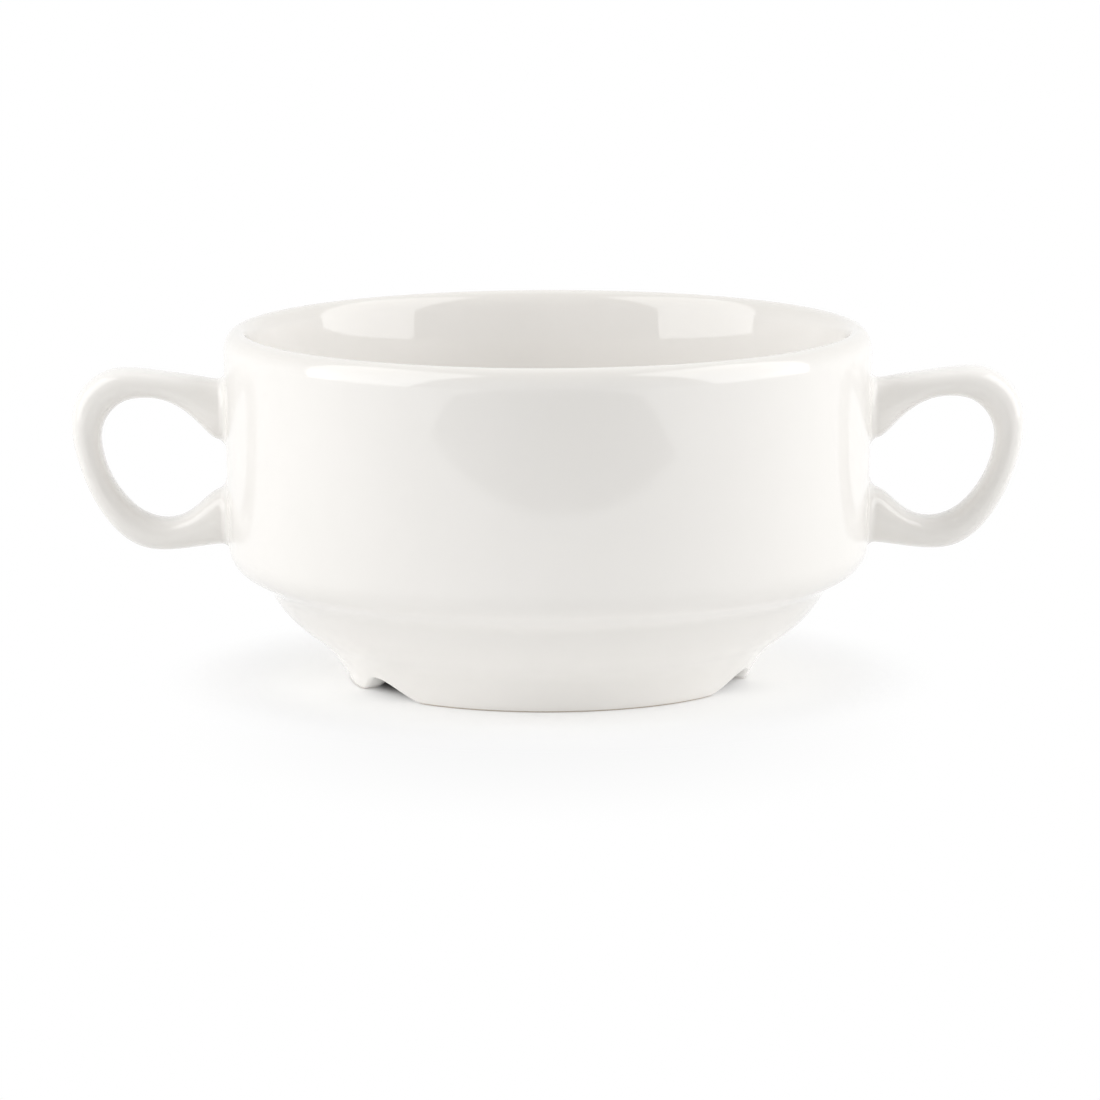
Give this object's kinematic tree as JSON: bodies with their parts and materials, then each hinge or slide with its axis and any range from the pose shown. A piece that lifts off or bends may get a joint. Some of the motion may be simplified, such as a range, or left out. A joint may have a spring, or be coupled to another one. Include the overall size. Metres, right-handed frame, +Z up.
{
  "type": "lug soup bowl",
  "caption": "Round stacking soup bowl with a stepped base, a notched foot ring and an open strap handle on each side.",
  "frame": {"origin": "on the bowl's axis, in the plane of the table that the foot ring stands on", "axes": "+Z up along the bowl's axis, +X through the right handle, -Y towards the front of the bowl"},
  "size_m": [0.1618, 0.11, 0.06],
  "materials": {
    "body_glaze": "glossy off-white glaze, bare clay on the foot ring",
    "handle_glaze": "glossy off-white glaze"
  },
  "bodies": {
    "root": {"bowl_body": "body_glaze", "left_handle": "handle_glaze", "left_upper_slip_joint": "handle_glaze", "left_lower_slip_joint": "handle_glaze", "right_handle": "handle_glaze", "right_upper_slip_joint": "handle_glaze", "right_lower_slip_joint": "handle_glaze"}
  },
  "joints": []
}
